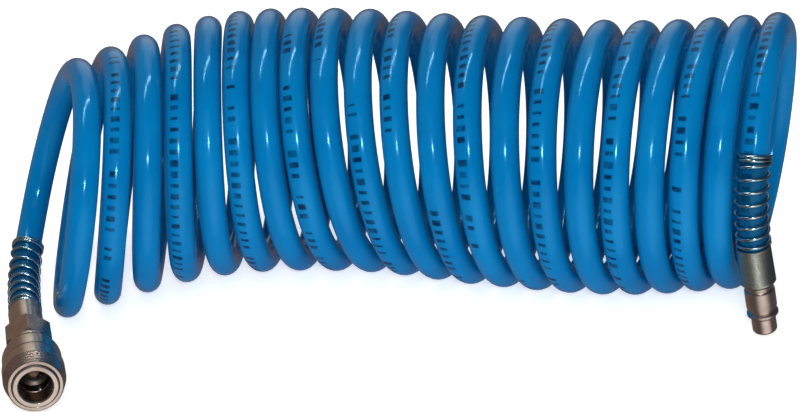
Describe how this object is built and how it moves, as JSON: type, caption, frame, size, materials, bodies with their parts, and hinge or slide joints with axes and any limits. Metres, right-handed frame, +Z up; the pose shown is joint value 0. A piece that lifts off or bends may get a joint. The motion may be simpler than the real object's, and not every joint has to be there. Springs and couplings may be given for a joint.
{
  "type": "coiled air hose",
  "caption": "Coiled compressed-air hose with wire spring guards, a sleeve-release quick coupler on one end and a plug on the other.",
  "frame": {"origin": "on the surface that the hose lies on, under the middle of the whole object", "axes": "+X along the coil from the coupler's end to the plug's end, +Z up, and the coupler points mostly along -Y"},
  "size_m": [0.2944, 0.1676, 0.098],
  "materials": {
    "hose": "gloss",
    "guard_steel": "polished wire",
    "nickel_plate": "nickel-plated, satin to bright",
    "nut_steel": "nickel-plated, finely ribbed",
    "spring_steel": "drawn wire",
    "ball_steel": "polished",
    "bare_brass": "machined",
    "seal_rubber": "matt"
  },
  "bodies": {
    "hose_and_coupler": {"hose_coil": "hose", "hose_to_coupler": "hose", "coupler_spring_guard": "guard_steel", "coupler_clamp_nut": "nickel_plate", "coupler_tail": "nickel_plate", "tail_seal": "seal_rubber", "coupler_body": "nickel_plate", "sleeve_spring": "spring_steel", "valve_spring": "spring_steel", "mouth_seal": "seal_rubber"},
    "plug_end": {"hose_to_plug": "hose", "plug_spring_guard": "guard_steel", "plug_clamp_nut": "nut_steel", "plug_body": "nickel_plate"},
    "release_sleeve": {"release_sleeve": "nickel_plate", "sleeve_clip": "spring_steel"},
    "valve": {"valve_poppet": "bare_brass", "valve_seal": "seal_rubber"},
    "locking_ball_1": {"locking_ball_1": "ball_steel"},
    "locking_ball_2": {"locking_ball_2": "ball_steel"},
    "locking_ball_3": {"locking_ball_3": "ball_steel"}
  },
  "joints": [
    {"name": "coil_stretch", "type": "slide", "parent": "hose_and_coupler", "child": "plug_end", "axis": [1, 0, 0], "range_m": [0, 1.2], "stiffness_N_per_m": 22, "deforming": ["hose_coil"]},
    {"name": "sleeve_pull", "type": "slide", "parent": "hose_and_coupler", "child": "release_sleeve", "axis": [-0.4136, 0.9075, -0.0732], "range_m": [0, 0.004], "stiffness_N_per_m": 1200, "springref_m": -0.004, "deforming": ["sleeve_spring"]},
    {"name": "valve_push", "type": "slide", "parent": "hose_and_coupler", "child": "valve", "axis": [-0.4136, 0.9075, -0.0732], "range_m": [0, 0.0036], "stiffness_N_per_m": 400, "springref_m": -0.003, "deforming": ["valve_spring"]},
    {"name": "ball_1_out", "type": "slide", "parent": "hose_and_coupler", "child": "locking_ball_1", "axis": [0.6775, 0.3605, 0.6411], "range_m": [0, 0.001]},
    {"name": "ball_2_out", "type": "slide", "parent": "hose_and_coupler", "child": "locking_ball_2", "axis": [-0.8655, -0.3669, 0.3411], "range_m": [0, 0.001]},
    {"name": "ball_3_out", "type": "slide", "parent": "hose_and_coupler", "child": "locking_ball_3", "axis": [0.1879, 0.0064, -0.9822], "range_m": [0, 0.001]}
  ],
  "couplings": [
    {"joint": "ball_1_out", "follows": "sleeve_pull", "ratio": 0.25},
    {"joint": "ball_2_out", "follows": "sleeve_pull", "ratio": 0.25},
    {"joint": "ball_3_out", "follows": "sleeve_pull", "ratio": 0.25}
  ]
}
